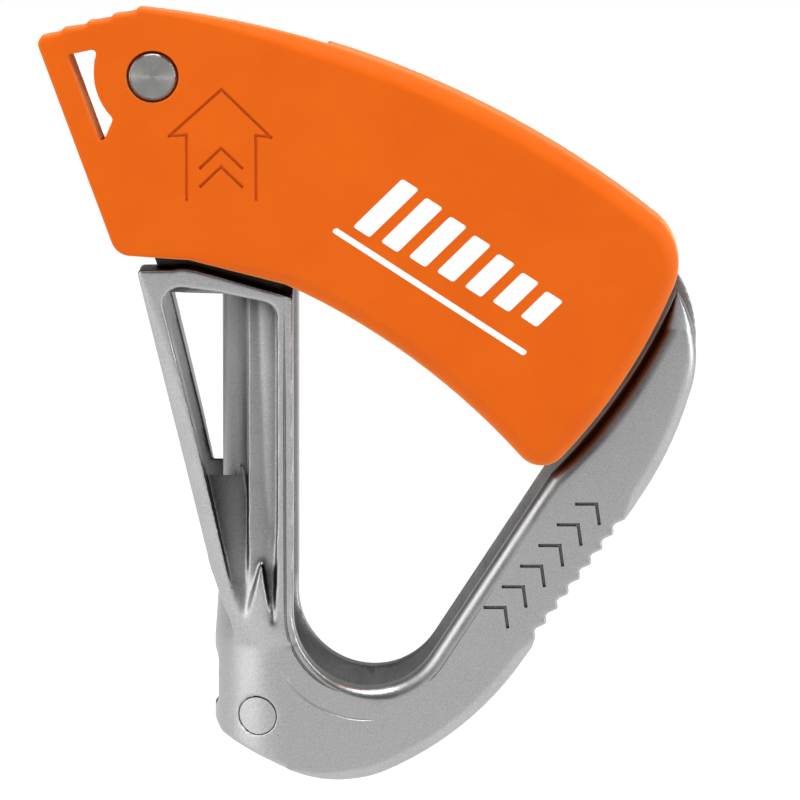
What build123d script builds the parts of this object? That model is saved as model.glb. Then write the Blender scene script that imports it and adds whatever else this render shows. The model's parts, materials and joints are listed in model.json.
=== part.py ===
"""Pocket rope ascender: a cast frame with a toothed rope channel and a sprung swinging cover.

Upright, with the rope along Z. The origin is on the rope's axis, level with the middle of the
teeth. The front is towards -Y, and the open side of the rope channel faces +X.
"""

from build123d import *
from math import cos, radians, sin
import os

os.makedirs("parts", exist_ok=True)

# ---------------------------------------------------------------- driving dimensions (mm)
# rope channel and cheeks
CHANNEL_R = 6.0            # inside radius of the rope channel
CHEEK_Y = 8.5              # outer face of each cheek
CHEEK_INNER_Y = 6.0        # inner face of each cheek
COLUMN_R = 7.6             # outside of the channel behind the windows
POST_R = 8.5               # outside of the channel below the windows
POST_RIGHT_X = 0.3         # open edge of the channel walls
POST_TOP_Z = 33.0
POST_BOTTOM_Z = -5.5       # where the post starts to narrow into the column
FOLD_TOP_Z = 48.0          # top of the channel between the lugs
FOLD_BOTTOM_Z = -14.4      # bottom of the channel wall at its back
HOLE_CORNER_R = 8.05       # round bottom of the carabiner hole
HOLE_TOP_Z = 70.0          # top of the cut for the hole, above everything in the frame

# flanges that widen the post under the cover
FLANGE_FRONT_Y = 9.9
FLANGE_BACK_Y = 4.9
FLANGE_FOOT_Z = -5.0
FLANGE_TOP_Z = 37.0
RAMP_TOP_Z = 14.7          # top of the ramp in the lower part of each window

# pivot
PIVOT_X = -14.5
PIVOT_Z = 56.6
RIVET_R = 1.5
RIVET_HEAD_R = 2.55
RIVET_HEAD_T = 1.1
RIVET_TAIL_R = 2.6
RIVET_TAIL_T = 1.2
RECESS_R = 2.8
RECESS_DEPTH = 1.2
BUSH_R = 2.0
RUNNING_GAP = 0.05
LUG_OUTER_Y = 7.5
LUG_R = 5.2
WASHER_R = 4.0
WASHER_T = 0.26
TAIL_WASHER_R = 3.4
TAIL_WASHER_T = 0.6
SPACER_R = 2.6

# cover
COVER_Y = 10.8             # outer face of the cover
COVER_WALL = 3.0
COVER_INNER_Y = COVER_Y - COVER_WALL
SKIRT_BACK_Y = 5.0
SKIRT_T = 1.8
COVER_EDGE_R = 0.5         # front edge of the cover, right of EDGE_LEFT_X
EDGE_LEFT_X = 3.0
COVER_R = 59.9             # end of the cover, about the pivot
COVER_OPEN_DEG = 45.0
ARM_GAP = 0.6              # between the end of the cover and the arm
ARM_R = COVER_R + ARM_GAP

TOP_ARC_CENTRE = (-26.35, -40.70)
TOP_ARC_R = 105.15
LOW_ARC_CENTRE = (-32.44, -35.68)
LOW_ARC_R = 76.84
SKIRT_LEFT_X = 4.0

# block behind the cover
BLOCK_LEFT_X = 8.0
BLOCK_BACK_Y = 5.3
BLOCK_INSET = 2.2
BLOCK_WALL = 1.6
BLOCK_EDGE_R = 1.0

# toothed insert
INSERT_T = 0.85
INSERT_TOP_Z = 14.5
INSERT_BOTTOM_Z = -14.0
INSERT_EDGE_X = -0.9
TOOTH_R = 0.7
TOOTH_H = 0.95
TOOTH_TAPER = 34.0         # degrees
TOOTH_LEAN = 0.45          # fall of a tooth's axis for each mm towards the rope
TOOTH_ROWS = 9
TOOTH_ROW_PITCH = 2.2
TOOTH_TURN = 15.0          # degrees between the teeth of a row
LOWEST_TEETH_Z = -5.0

# dirt slot
SLOT_HALF_Y = 2.5
SLOT_TOP_Z = -7.3
SLOT_BOTTOM_Z = -12.6
SLOT_CORNER_R = 1.2

# insert pins
PIN_R = 2.0
PIN_X = -3.6
PIN_Z = -13.0
PIN_INNER_Y = 5.5
PIN_FIT = 0.01

# stop pin and spring
STOP_ORBIT_R = 8.5
STOP_PIN_R = 0.9
STOP_PIN_SINK = 1.8        # how deep the stop pin sits in the cover
PIN_END_Y = 3.2            # inner ends of the stop pin and the spring post
STOP_CLOSED_DEG = -100.0
STOP_OPEN_DEG = STOP_CLOSED_DEG + COVER_OPEN_DEG
STOP_SLOT_R = 1.15
STOP_END_DEG = 1.35        # slot ends sit this much inside the pin's travel, so the pin just clears
SPRING_POST_DEG = -60.0
SPRING_MEAN_R = 3.7
SPRING_WIRE_R = 0.4
SPRING_HALF_Y = 4.2
SPRING_BAND = 0.45         # half the coil's radial thickness
SPRING_LEG = 9.0
LEG_TURN = 16.3            # degrees between a leg and the line from the pivot to its pin

# engravings
ENGRAVE_W = 0.35
ENGRAVE_DEPTH = 0.25

# screws that hold the block on the cover
SCREW_PLACES = [(13.5, 50.0), (33.5, 39.0), (24.5, 22.5)]
SCREW_R = 1.0
SCREW_HEAD_R = 1.9
SCREW_BOSS_R = 2.3
SCREW_TIP_Y = 9.4
SCREW_CROSS = 2.2
SCREW_CROSS_W = 0.5
SCREW_CROSS_DEPTH = 0.6


def at_y(y):
    """Sketch plane facing the front (-Y) at depth y; its x and y are the model's X and Z."""
    return Plane.XZ.offset(-y)


def polar(radius, degrees):
    """Point (X, Z) at a radius and angle about the pivot."""
    return (PIVOT_X + radius * cos(radians(degrees)), PIVOT_Z + radius * sin(radians(degrees)))


# ---------------------------------------------------------------- profiles
def cover_profile():
    """Outline of the cover: serrated tab at the left, round end about the pivot at the right."""
    tab_corner = (-27.0, 60.7)
    top_start = (-15.6, 63.9)
    end_top = (42.7, 38.6)
    end_bottom = (26.8, 13.25)
    left_foot = (-18.45, 37.4)
    steps = 4
    low = 0.22
    run = (top_start[0] - tab_corner[0]) / (steps + 0.3)
    rise = (top_start[1] - tab_corner[1]) / (steps + 0.3)
    serrations = [tab_corner]
    for i in range(1, steps + 1):
        foot_x = tab_corner[0] + run * i
        foot_z = tab_corner[1] + rise * i
        serrations.append((foot_x, foot_z - low))
        serrations.append((foot_x + 0.45, foot_z + low))
    with BuildSketch() as face:
        with BuildLine():
            Polyline(*serrations, top_start)
            ThreePointArc(top_start, (14.0, 56.4), end_top)
            ThreePointArc(end_top, polar(COVER_R, -32.0), end_bottom)
            ThreePointArc(end_bottom, (12.9, 26.35), (-0.5, 34.2))
            Polyline((-0.5, 34.2), (-10.7, 36.9), left_foot, tab_corner)
        make_face()
        for corner, radius in ((end_top, 6.4), (end_bottom, 3.0), (left_foot, 2.2), (tab_corner, 0.9)):
            fillet(face.vertices().sort_by_distance(corner)[0], radius=radius)
    return face.sketch


def body_profile(inset, left_x):
    """Body of the cover right of left_x, drawn in by an inset; three round sides and a straight one."""
    with BuildSketch() as face:
        with Locations(TOP_ARC_CENTRE):
            Circle(TOP_ARC_R - inset)
        with Locations((PIVOT_X, PIVOT_Z)):
            Circle(COVER_R - inset, mode=Mode.INTERSECT)
        with Locations(LOW_ARC_CENTRE):
            Circle(LOW_ARC_R + inset, mode=Mode.SUBTRACT)
        with Locations((left_x + 40, 40)):
            Rectangle(80, 80, mode=Mode.INTERSECT)
        fillet(face.vertices().sort_by(Axis.X)[-1], radius=6.4 - inset)
        fillet(face.vertices().sort_by(Axis.Y)[0], radius=3.0 - 0.6 * inset)
    return face.sketch


def tab_hole_profile():
    """See-through hole in the thumb tab; its right side runs round the pivot boss."""
    with BuildSketch() as face:
        with BuildLine():
            Polyline((-18.7, 52.1), (-20.0, 49.0), (-23.6, 58.9), (-20.3, 59.6))
            ThreePointArc((-20.3, 59.6), (-20.72, 56.3), (-18.7, 52.1))
        make_face()
        fillet(face.vertices(), radius=0.4)
    return face.sketch


def frame_outline():
    """Outer edge of one cheek, closed with a straight line from the arm's tip to the post's top."""
    teeth_start = (26.3, -4.3)
    teeth_end = (35.9, 8.7)
    tip = (40.4, 34.6)
    count = 8
    dx = (teeth_end[0] - teeth_start[0]) / count
    dz = (teeth_end[1] - teeth_start[1]) / count
    serrations = [(25.9, -5.4), teeth_start]
    for i in range(count):
        x = teeth_start[0] + dx * i
        z = teeth_start[1] + dz * i
        serrations.append((x + dx * 0.25 - 0.44, z + dz * 0.25 + 0.33))
        serrations.append((x + dx * 0.50 - 0.44, z + dz * 0.50 + 0.33))
        serrations.append((x + dx, z + dz))
    with BuildSketch() as face:
        with BuildLine():
            Polyline(tip, (POST_RIGHT_X, POST_TOP_Z), (-POST_R, POST_TOP_Z), (-POST_R, FOLD_BOTTOM_Z))
            Polyline((-POST_R, FOLD_BOTTOM_Z), (-7.6, -15.5), (0.4, -19.0))
            ThreePointArc((0.4, -19.0), (5.2, -20.0), (10.0, -19.1))
            ThreePointArc((10.0, -19.1), (18.4, -14.0), (25.9, -5.4))
            Polyline(*serrations)
            ThreePointArc(teeth_end, (40.1, 15.4), (42.7, 22.0))
            ThreePointArc((42.7, 22.0), (43.4, 27.5), tip)
        make_face()
    return face.sketch


def hole_profile():
    """Carabiner hole and the sweep of the cover, as one cut through the cheeks."""
    arm_start = polar(ARM_R, -45.5)
    slope = (arm_start[1] + 6.45) / (arm_start[0] - 14.96)
    low_corner = (POST_RIGHT_X, arm_start[1] - slope * (arm_start[0] - POST_RIGHT_X))
    top_right = polar(ARM_R, 0.0)
    with BuildSketch() as face:
        with BuildLine():
            Polyline(arm_start, low_corner, (POST_RIGHT_X, HOLE_TOP_Z), (top_right[0], HOLE_TOP_Z),
                     top_right)
            ThreePointArc(top_right, polar(ARM_R, -25.0), arm_start)
        make_face()
        fillet(face.vertices().sort_by_distance(low_corner)[0], radius=HOLE_CORNER_R)
    return face.sketch


def flange_profile():
    """Wide top of the post with the slanted strut, seen from the front."""
    with BuildSketch() as face:
        with BuildLine():
            Polyline((-7.4, -5.0), (-8.4, -1.0), (-9.15, 4.9), (-11.05, 13.1), (-16.35, 35.7), (-12.8, 35.75),
                     (-11.5, 35.95), (-10.0, 35.75), (-0.2, 32.95), (POST_RIGHT_X, 32.6),
                     (POST_RIGHT_X, -5.0), close=True)
        make_face()
        fillet(face.vertices().sort_by_distance((-16.35, 35.7))[0], radius=0.5)
    return face.sketch


def window_profile():
    """Window in the flange: a tall triangle with round top corners and a notch for the column."""
    with BuildSketch() as face:
        with BuildLine():
            Polyline((-5.3, -4.0), (-10.3, 18.4), (-14.1, 34.2), (-7.7, 33.4), (-1.3, 32.0), (-1.35, 10.0),
                     (-1.75, -4.7), (-3.1, 4.0), close=True)
        make_face()
        fillet(face.vertices().sort_by_distance((-14.1, 34.2))[0], radius=1.9)
        fillet(face.vertices().sort_by_distance((-1.3, 32.0))[0], radius=1.7)
    return face.sketch


def lug_profile(right_x):
    """Plate that rises from the flange to the pivot boss."""
    with BuildSketch() as face:
        with BuildLine():
            Polyline((-13.0, 33.0), (-17.8, 44.5), (-17.8, 52.5), (-19.5, 57.0), (-14.5, 61.6), (-9.0, 57.5),
                     (right_x, 51.5), (right_x, 36.5), (POST_RIGHT_X, 32.6), close=True)
        make_face()
        with Locations((PIVOT_X, PIVOT_Z)):
            Circle(LUG_R)
        fillet(face.vertices().sort_by_distance((right_x, 51.5))[0], radius=1.5)
    return face.sketch


def stop_slot_profile():
    """Arc slot about the pivot for the stop pin."""
    start = polar(STOP_ORBIT_R, STOP_CLOSED_DEG + STOP_END_DEG)
    middle = polar(STOP_ORBIT_R, (STOP_CLOSED_DEG + STOP_OPEN_DEG) / 2)
    end = polar(STOP_ORBIT_R, STOP_OPEN_DEG - STOP_END_DEG)
    with BuildSketch() as face:
        with BuildLine(mode=Mode.PRIVATE):
            middle_line = ThreePointArc(start, middle, end)
        SlotArc(middle_line, height=2 * STOP_SLOT_R)
    return face.sketch


def arrow_profile():
    """Engraved direction arrow, pointing up the rope, with two chevrons in its shaft."""
    with BuildSketch() as face:
        with BuildLine() as outline:
            Polyline((-10.9, 43.5), (-10.9, 50.4), (-12.7, 50.3), (-7.15, 55.3), (-1.9, 50.2), (-3.5, 50.4),
                     (-3.5, 43.5))
        trace(outline.line, line_width=ENGRAVE_W)
        for z in (46.9, 44.9):
            with BuildLine() as chevron:
                Polyline((-9.4, z), (-7.2, z + 2.1), (-5.0, z))
            trace(chevron.line, line_width=ENGRAVE_W)
    return face.sketch


def arm_mark_profile():
    """Row of engraved chevrons along the arm."""
    first = (22.6, -1.4)
    last = (32.4, 9.9)
    count = 6
    slope = 49.2
    with BuildSketch() as face:
        for i in range(count):
            x = first[0] + (last[0] - first[0]) * i / (count - 1)
            z = first[1] + (last[1] - first[1]) * i / (count - 1)
            tip = Vector(0.7, 0).rotate(Axis.Z, slope)
            up = Vector(-0.7, 1.6).rotate(Axis.Z, slope)
            down = Vector(-0.7, -1.6).rotate(Axis.Z, slope)
            with BuildLine() as chevron:
                Polyline((x + up.X, z + up.Y), (x + tip.X, z + tip.Y), (x + down.X, z + down.Y))
            trace(chevron.line, line_width=ENGRAVE_W)
    return face.sketch


cover_face = cover_profile()
arrow_face = arrow_profile()
arm_mark_face = arm_mark_profile()
skirt_face = body_profile(0.0, SKIRT_LEFT_X)
skirt_inner_face = body_profile(SKIRT_T, SKIRT_LEFT_X)
block_face = body_profile(BLOCK_INSET, BLOCK_LEFT_X)
block_room_face = body_profile(BLOCK_INSET + BLOCK_WALL, BLOCK_LEFT_X + BLOCK_WALL)
tab_hole_face = tab_hole_profile()
outline_face = frame_outline()
hole_face = hole_profile()
flange_face = flange_profile()
window_face = window_profile()
front_lug_face = lug_profile(POST_RIGHT_X)
rear_lug_face = lug_profile(6.5)
stop_slot_face = stop_slot_profile()


# ---------------------------------------------------------------- helpers for the frame
def column_solid():
    """Outside of the rope channel: a column that widens into the post below the windows."""
    with BuildPart() as column:
        with BuildSketch(Plane.XZ):
            with BuildLine():
                Polyline((0, -30), (POST_R, -30), (POST_R, POST_BOTTOM_Z), (COLUMN_R, 8.0),
                         (COLUMN_R, FOLD_TOP_Z), (0, FOLD_TOP_Z), close=True)
            make_face()
        revolve(axis=Axis.Z)
    return column.part


def flange_solid():
    """Front flange with its window pocket; the rear one is its mirror image."""
    with BuildPart() as flange:
        with BuildSketch(at_y(0)):
            add(flange_face)
        extrude(amount=FLANGE_FRONT_Y + 1)
        with BuildSketch(Plane.YZ.offset(-20)):
            with BuildLine():
                Polyline((-CHEEK_Y, FLANGE_FOOT_Z), (-FLANGE_FRONT_Y, FLANGE_TOP_Z),
                         (-FLANGE_BACK_Y, FLANGE_TOP_Z), (-CHEEK_INNER_Y, FLANGE_FOOT_Z), close=True)
            make_face()
        extrude(amount=30, mode=Mode.INTERSECT)
    return flange.part


def envelope_solid():
    """Limits the flanges: round as the post at its foot, square at the top."""
    with BuildPart() as envelope:
        with BuildSketch(Plane.XY.offset(POST_BOTTOM_Z)):
            RectangleRounded(2 * POST_R, 2 * POST_R, POST_R - 0.05)
        with BuildSketch(Plane.XY.offset(38.0)):
            with Locations((-4.2, 0)):
                RectangleRounded(26.4, 2 * FLANGE_FRONT_Y + 0.2, 1.0)
        loft()
    return envelope.part


def window_solid():
    """Space inside the window: open beside the column, ramped shut below, shallow at its right."""
    with BuildPart() as window:
        with BuildSketch(at_y(0)):
            add(window_face)
        extrude(amount=FLANGE_FRONT_Y + 2)
        # ramp that closes the lower part beside the column
        with BuildSketch(Plane.YZ.offset(-20)):
            with BuildLine():
                Polyline((0, -10), (0, RAMP_TOP_Z), (-FLANGE_BACK_Y - 0.5, RAMP_TOP_Z),
                         (-7.8, -4.6), (-7.8, -10), close=True)
            make_face()
        extrude(amount=30, mode=Mode.SUBTRACT)
        # flat panel right of the column
        with BuildSketch(Plane.YZ.offset(-4.6)):
            with BuildLine():
                Polyline((0, -10), (0, 40), (-6.6, 40), (-7.05, 13.0), (-7.7, -4.9), (-7.7, -10),
                         close=True)
            make_face()
        extrude(amount=6, mode=Mode.SUBTRACT)
    return window.part


column = column_solid()
flange = flange_solid() & envelope_solid()
window = window_solid() - column


# ---------------------------------------------------------------- frame
with BuildPart() as frame:
    with BuildSketch(at_y(CHEEK_Y)):
        add(outline_face)
    extrude(amount=2 * CHEEK_Y)
    # round the channel side: keep the column, and everything right of the channel's axis
    with BuildSketch(Plane.XY.offset(-25)):
        with Locations((25, 0)):
            Rectangle(50, 2 * CHEEK_Y)
    keep_right = extrude(amount=65, mode=Mode.PRIVATE)
    add(column + keep_right, mode=Mode.INTERSECT)
    # carabiner hole and the room for the cover's sweep
    with BuildSketch(at_y(CHEEK_Y + 2)):
        add(hole_face)
    extrude(amount=2 * CHEEK_Y + 4, mode=Mode.SUBTRACT)
    # channel above the post, up to the lugs
    with BuildSketch(Plane.XY.offset(POST_TOP_Z - 8)):
        Circle(COLUMN_R)
        with Locations((5 + POST_RIGHT_X, 0)):
            Rectangle(10, 2 * COLUMN_R + 1, mode=Mode.SUBTRACT)
    extrude(amount=FOLD_TOP_Z - POST_TOP_Z + 8)
    # flanges, front and rear
    add(flange)
    add(mirror(flange, about=Plane.XZ, mode=Mode.PRIVATE))
    # windows, front and rear
    add(window, mode=Mode.SUBTRACT)
    add(mirror(window, about=Plane.XZ, mode=Mode.PRIVATE), mode=Mode.SUBTRACT)
    # flat sides above the flanges, so that the cover clears them
    for side in (-1, 1):
        with BuildSketch(Plane.XY.offset(36.0)):
            with Locations((-4, side * (LUG_OUTER_Y + 1))):
                Rectangle(12, 2)
        extrude(amount=20, mode=Mode.SUBTRACT)
    # rear flange: its high left corner is trimmed off
    with BuildSketch(at_y(CHEEK_Y + 3)):
        with BuildLine():
            Polyline((-18, 31.5), (-9.6, 36.6), (-18, 38), close=True)
        make_face()
    extrude(amount=CHEEK_Y + 3, mode=Mode.SUBTRACT)
    # lugs
    with BuildSketch(at_y(-CHEEK_INNER_Y)):
        add(front_lug_face)
    extrude(amount=LUG_OUTER_Y - CHEEK_INNER_Y)
    with BuildSketch(at_y(LUG_OUTER_Y)):
        add(rear_lug_face)
    extrude(amount=LUG_OUTER_Y - CHEEK_INNER_Y)
    # rope channel
    with BuildSketch(Plane.XY.offset(-25)):
        Circle(CHANNEL_R)
        with Locations((25, 0)):
            Rectangle(50, 2 * CHEEK_INNER_Y)
    extrude(amount=90, mode=Mode.SUBTRACT)
    # seat of the toothed insert
    with BuildSketch(Plane.XY.offset(INSERT_BOTTOM_Z)):
        Circle(CHANNEL_R + INSERT_T)
        with Locations((INSERT_EDGE_X + 5, 0)):
            Rectangle(10, 20, mode=Mode.SUBTRACT)
    extrude(amount=INSERT_TOP_Z - INSERT_BOTTOM_Z, mode=Mode.SUBTRACT)
    # dirt slot through the back of the channel
    with BuildSketch(Plane.YZ.offset(-POST_R - 1)):
        with Locations((0, (SLOT_TOP_Z + SLOT_BOTTOM_Z) / 2)):
            RectangleRounded(2 * SLOT_HALF_Y, SLOT_TOP_Z - SLOT_BOTTOM_Z, SLOT_CORNER_R)
    extrude(amount=5, mode=Mode.SUBTRACT)
    # insert pins, rivet, spring post and stop slot
    with BuildSketch(at_y(CHEEK_Y + 2)):
        with Locations((PIN_X, PIN_Z)):
            Circle(PIN_R + PIN_FIT)
        with Locations((PIVOT_X, PIVOT_Z)):
            Circle(RIVET_R)
    extrude(amount=2 * CHEEK_Y + 4, mode=Mode.SUBTRACT)
    with BuildSketch(at_y(LUG_OUTER_Y + 1)):
        with Locations(polar(STOP_ORBIT_R, SPRING_POST_DEG)):
            Circle(STOP_PIN_R)
    extrude(amount=3, mode=Mode.SUBTRACT)
    with BuildSketch(at_y(-CHEEK_INNER_Y + 1)):
        add(stop_slot_face)
    extrude(amount=3, mode=Mode.SUBTRACT)
    # engraved chevrons on the arm
    with BuildSketch(at_y(-CHEEK_Y + ENGRAVE_DEPTH)):
        add(arm_mark_face)
    extrude(amount=1, mode=Mode.SUBTRACT)
frame.part.label = "frame"
export_step(frame.part, "parts/frame.step")

# ---------------------------------------------------------------- toothed insert
with BuildPart() as toothed_insert:
    with BuildSketch(Plane.XY.offset(INSERT_BOTTOM_Z)):
        Circle(CHANNEL_R + INSERT_T)
        Circle(CHANNEL_R, mode=Mode.SUBTRACT)
        with Locations((INSERT_EDGE_X + 5, 0)):
            Rectangle(10, 20, mode=Mode.SUBTRACT)
    extrude(amount=INSERT_TOP_Z - INSERT_BOTTOM_Z)
    # teeth lean down, so that they bite when the load pulls down
    for row in range(TOOTH_ROWS):
        shift = TOOTH_TURN / 2 if row % 2 else 0.0
        for step in range(-3, 4):
            turn = step * TOOTH_TURN + shift
            if abs(turn) < 50:
                base_z = LOWEST_TEETH_Z + TOOTH_ROW_PITCH * row
                base = Vector(-CHANNEL_R - 0.1, 0, base_z).rotate(Axis.Z, turn)
                lean = Vector(1, 0, -TOOTH_LEAN).rotate(Axis.Z, turn)
                with BuildSketch(Plane(origin=base, z_dir=lean)):
                    Circle(TOOTH_R)
                extrude(amount=TOOTH_H, taper=TOOTH_TAPER)
    with BuildSketch(Plane.YZ.offset(-POST_R - 1)):
        with Locations((0, (SLOT_TOP_Z + SLOT_BOTTOM_Z) / 2)):
            RectangleRounded(2 * SLOT_HALF_Y, SLOT_TOP_Z - SLOT_BOTTOM_Z, SLOT_CORNER_R)
    extrude(amount=5, mode=Mode.SUBTRACT)
    with BuildSketch(at_y(CHEEK_Y + 2)):
        with Locations((PIN_X, PIN_Z)):
            Circle(PIN_R + PIN_FIT)
    extrude(amount=2 * CHEEK_Y + 4, mode=Mode.SUBTRACT)
toothed_insert.part.label = "toothed_insert"
export_step(toothed_insert.part, "parts/toothed_insert.step")

# ---------------------------------------------------------------- insert pins
with BuildPart() as insert_pins:
    for y in (-PIN_INNER_Y, CHEEK_Y):
        with BuildSketch(at_y(y)):
            with Locations((PIN_X, PIN_Z)):
                Circle(PIN_R)
        extrude(amount=CHEEK_Y - PIN_INNER_Y)
    with BuildSketch(Plane.XY.offset(PIN_Z - PIN_R - 1)):
        Circle(POST_R)
    extrude(amount=2 * PIN_R + 2, mode=Mode.INTERSECT)
insert_pins.part.label = "insert_pins"
export_step(insert_pins.part, "parts/insert_pins.step")

# ---------------------------------------------------------------- cover
with BuildPart() as gate_shell:
    with BuildSketch(at_y(-COVER_INNER_Y)):
        add(cover_face)
    extrude(amount=COVER_WALL)
    # skirt along the top, round the end and along the lower edge
    with BuildSketch(at_y(-SKIRT_BACK_Y)):
        add(skirt_face)
        add(skirt_inner_face, mode=Mode.SUBTRACT)
    extrude(amount=COVER_INNER_Y - SKIRT_BACK_Y)
    # round the front edge
    front_face = gate_shell.faces().sort_by(Axis.Y)[0]
    rim = front_face.outer_wire().edges()
    right_rim = [edge for edge in rim if edge.center().X > EDGE_LEFT_X]
    fillet(right_rim, radius=COVER_EDGE_R)
    with BuildSketch(at_y(-COVER_INNER_Y + 2)):
        add(tab_hole_face)
    extrude(amount=COVER_WALL + 4, mode=Mode.SUBTRACT)
    with BuildSketch(at_y(-COVER_Y + ENGRAVE_DEPTH)):
        add(arrow_face)
    extrude(amount=1, mode=Mode.SUBTRACT)
    # recess for the rivet head, and the eye for the bush
    with BuildSketch(at_y(-COVER_Y + RECESS_DEPTH)):
        with Locations((PIVOT_X, PIVOT_Z)):
            Circle(RECESS_R)
    extrude(amount=RECESS_DEPTH + 1, mode=Mode.SUBTRACT)
    with BuildSketch(at_y(-COVER_INNER_Y + 1)):
        with Locations((PIVOT_X, PIVOT_Z)):
            Circle(BUSH_R)
    extrude(amount=COVER_WALL + 1, mode=Mode.SUBTRACT)
    # blind holes for the stop pin and the screws
    with BuildSketch(at_y(-COVER_INNER_Y)):
        with Locations(polar(STOP_ORBIT_R, STOP_CLOSED_DEG)):
            Circle(STOP_PIN_R)
    extrude(amount=STOP_PIN_SINK, mode=Mode.SUBTRACT)
    with BuildSketch(at_y(-COVER_INNER_Y)):
        with Locations(*SCREW_PLACES):
            Circle(SCREW_R)
    extrude(amount=SCREW_TIP_Y - COVER_INNER_Y, mode=Mode.SUBTRACT)
gate_shell.part.label = "gate_shell"
export_step(gate_shell.part, "parts/gate_shell.step")

# ---------------------------------------------------------------- block behind the cover
with BuildPart() as gate_block:
    with BuildSketch(at_y(BLOCK_BACK_Y)):
        add(block_face)
    extrude(amount=BLOCK_BACK_Y + COVER_INNER_Y)
    rear_rim = gate_block.faces().sort_by(Axis.Y)[-1].outer_wire().edges()
    fillet(rear_rim, radius=BLOCK_EDGE_R)
    with BuildSketch(at_y(BLOCK_BACK_Y - BLOCK_WALL)):
        add(block_room_face)
        with Locations(*SCREW_PLACES):
            Circle(SCREW_BOSS_R, mode=Mode.SUBTRACT)
    extrude(amount=BLOCK_BACK_Y + COVER_INNER_Y, mode=Mode.SUBTRACT)
    with BuildSketch(at_y(BLOCK_BACK_Y + 1)):
        with Locations(*SCREW_PLACES):
            Circle(SCREW_R)
    extrude(amount=BLOCK_BACK_Y + COVER_INNER_Y + 2, mode=Mode.SUBTRACT)
    with BuildSketch(at_y(BLOCK_BACK_Y)):
        with Locations(*SCREW_PLACES):
            Circle(SCREW_HEAD_R)
    extrude(amount=SCREW_HEAD_R - SCREW_R, taper=45, mode=Mode.SUBTRACT)
gate_block.part.label = "gate_block"
export_step(gate_block.part, "parts/gate_block.step")

# ---------------------------------------------------------------- screws of the block
with BuildPart() as block_screws:
    with BuildSketch(at_y(BLOCK_BACK_Y)):
        with Locations(*SCREW_PLACES):
            Circle(SCREW_HEAD_R)
    extrude(amount=SCREW_HEAD_R - SCREW_R, taper=45)
    with BuildSketch(at_y(BLOCK_BACK_Y - 0.5)):
        with Locations(*SCREW_PLACES):
            Circle(SCREW_R)
    extrude(amount=BLOCK_BACK_Y - 0.5 + SCREW_TIP_Y)
    with BuildSketch(at_y(BLOCK_BACK_Y)):
        for place in SCREW_PLACES:
            with Locations(place):
                Rectangle(SCREW_CROSS, SCREW_CROSS_W)
                Rectangle(SCREW_CROSS_W, SCREW_CROSS)
    extrude(amount=SCREW_CROSS_DEPTH, mode=Mode.SUBTRACT)
block_screws.part.label = "block_screws"
export_step(block_screws.part, "parts/block_screws.step")

# ---------------------------------------------------------------- pivot
head_back_y = -COVER_Y + RECESS_DEPTH - RUNNING_GAP
with BuildPart() as pivot_rivet:
    with BuildSketch(at_y(head_back_y)):
        with Locations((PIVOT_X, PIVOT_Z)):
            Circle(RIVET_HEAD_R)
    extrude(amount=RIVET_HEAD_T)
    chamfer(pivot_rivet.faces().sort_by(Axis.Y)[0].edges(), length=0.22)
    tail_y = LUG_OUTER_Y + TAIL_WASHER_T
    with BuildSketch(at_y(tail_y)):
        with Locations((PIVOT_X, PIVOT_Z)):
            Circle(RIVET_R)
    extrude(amount=tail_y - head_back_y)
    with BuildSketch(at_y(tail_y + RIVET_TAIL_T)):
        with Locations((PIVOT_X, PIVOT_Z)):
            Circle(RIVET_TAIL_R)
    extrude(amount=RIVET_TAIL_T)
    fillet(pivot_rivet.faces().sort_by(Axis.Y)[-1].edges(), radius=0.7)
pivot_rivet.part.label = "pivot_rivet"
export_step(pivot_rivet.part, "parts/pivot_rivet.step")


def pivot_ring(inner_r, outer_r, back_y, front_y):
    """Ring about the pivot, between two depths."""
    with BuildPart() as ring:
        with BuildSketch(at_y(back_y)):
            with Locations((PIVOT_X, PIVOT_Z)):
                Circle(outer_r)
                Circle(inner_r, mode=Mode.SUBTRACT)
        extrude(amount=back_y - front_y)
    return ring.part


bush_ring = pivot_ring(RIVET_R + RUNNING_GAP, BUSH_R, -COVER_INNER_Y, -COVER_Y + RECESS_DEPTH)
with BuildPart() as pivot_bush:
    add(bush_ring)
pivot_bush.part.label = "pivot_bush"
export_step(pivot_bush.part, "parts/pivot_bush.step")

slide_ring = pivot_ring(RIVET_R, WASHER_R, -LUG_OUTER_Y, -LUG_OUTER_Y - WASHER_T)
with BuildPart() as slide_washer:
    add(slide_ring)
slide_washer.part.label = "slide_washer"
export_step(slide_washer.part, "parts/slide_washer.step")

spacer_ring = pivot_ring(RIVET_R, SPACER_R, CHEEK_INNER_Y, -CHEEK_INNER_Y)
with BuildPart() as spacer_tube:
    add(spacer_ring)
spacer_tube.part.label = "spacer_tube"
export_step(spacer_tube.part, "parts/spacer_tube.step")

tail_ring = pivot_ring(RIVET_R, TAIL_WASHER_R, LUG_OUTER_Y + TAIL_WASHER_T, LUG_OUTER_Y)
with BuildPart() as rivet_washer:
    add(tail_ring)
rivet_washer.part.label = "rivet_washer"
export_step(rivet_washer.part, "parts/rivet_washer.step")

# ---------------------------------------------------------------- stop pin and spring post
with BuildPart() as stop_pin:
    with BuildSketch(at_y(-PIN_END_Y)):
        with Locations(polar(STOP_ORBIT_R, STOP_CLOSED_DEG)):
            Circle(STOP_PIN_R)
    extrude(amount=COVER_INNER_Y + STOP_PIN_SINK - PIN_END_Y)
stop_pin.part.label = "stop_pin"
export_step(stop_pin.part, "parts/stop_pin.step")

with BuildPart() as spring_post:
    with BuildSketch(at_y(LUG_OUTER_Y)):
        with Locations(polar(STOP_ORBIT_R, SPRING_POST_DEG)):
            Circle(STOP_PIN_R)
    extrude(amount=LUG_OUTER_Y - PIN_END_Y)
spring_post.part.label = "spring_post"
export_step(spring_post.part, "parts/spring_post.step")

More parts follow.
